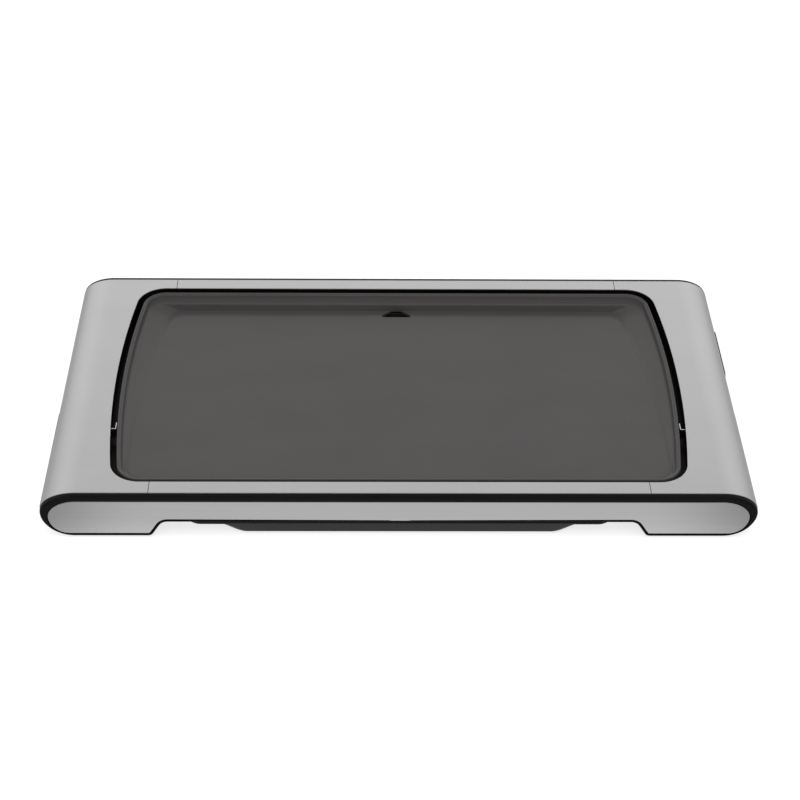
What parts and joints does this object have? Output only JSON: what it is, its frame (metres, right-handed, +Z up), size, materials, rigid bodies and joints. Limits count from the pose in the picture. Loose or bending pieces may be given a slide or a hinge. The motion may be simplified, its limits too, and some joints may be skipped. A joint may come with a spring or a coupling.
{
  "type": "electric griddle",
  "caption": "Low table-top electric griddle: dark plate with a raised rim and drain in a steel-covered body with rounded ends, over a slide-out drip tray.",
  "frame": {"origin": "on the table under the middle of the griddle", "axes": "+X to the right end with the inlet, +Y from the cook towards the back, +Z up"},
  "size_m": [0.6218, 0.3334, 0.046],
  "materials": {
    "black_housing": "matt black moulded phenolic, fine-textured",
    "steel_cover": "fine brushed stainless steel",
    "plate_coating": "cast aluminium with a dark satin non-stick coating",
    "element_sheath": "heat-tinted steel sheath",
    "reflector": "bright aluminised sheet",
    "base_steel": "black enamelled steel sheet",
    "tray_metal": "black coated steel, slightly glossy",
    "runner_steel": "plain folded steel",
    "grip_black": "soft-touch black",
    "foot_rubber": "matt black rubber",
    "pad_silicone": "grey heat-proof silicone",
    "block_ceramic": "cream heat-proof moulding",
    "pin_metal": "nickel-plated",
    "screw_steel": "zinc-plated",
    "clip_steel": "bright spring steel"
  },
  "bodies": {
    "griddle": {"housing_frame": "black_housing", "left_side_cover": "steel_cover", "right_side_cover": "steel_cover", "front_top_strip": "steel_cover", "rear_top_strip": "steel_cover", "front_fascia": "steel_cover", "rear_fascia": "steel_cover", "reflector_pan": "reflector", "drain_chute": "base_steel", "heating_element": "element_sheath", "element_bracket_left": "runner_steel", "element_bracket_middle": "runner_steel", "element_bracket_right": "runner_steel", "base_plate": "base_steel", "left_leg_cover": "black_housing", "right_leg_cover": "black_housing", "inlet_shroud": "black_housing", "terminal_block": "block_ceramic", "front_contact_pin": "pin_metal", "rear_contact_pin": "pin_metal", "sensor_guide": "pin_metal", "left_tray_runner": "runner_steel", "right_tray_runner": "runner_steel", "left_grip": "grip_black", "right_grip": "grip_black", "left_plate_clip": "clip_steel", "right_plate_clip": "clip_steel", "front_left_foot": "foot_rubber", "front_right_foot": "foot_rubber", "rear_left_foot": "foot_rubber", "rear_right_foot": "foot_rubber", "support_pads": "pad_silicone", "base_screws": "screw_steel", "leg_screws": "screw_steel", "runner_rivets": "screw_steel"},
    "plate": {"cooking_plate": "plate_coating"},
    "tray": {"drip_tray": "tray_metal"}
  },
  "joints": [
    {"name": "plate_lift", "type": "slide", "parent": "griddle", "child": "plate", "axis": [0, 0, 1], "range_m": [0, 0.06]},
    {"name": "tray_slide", "type": "slide", "parent": "griddle", "child": "tray", "axis": [0, -1, 0], "range_m": [0, 0.3]}
  ]
}
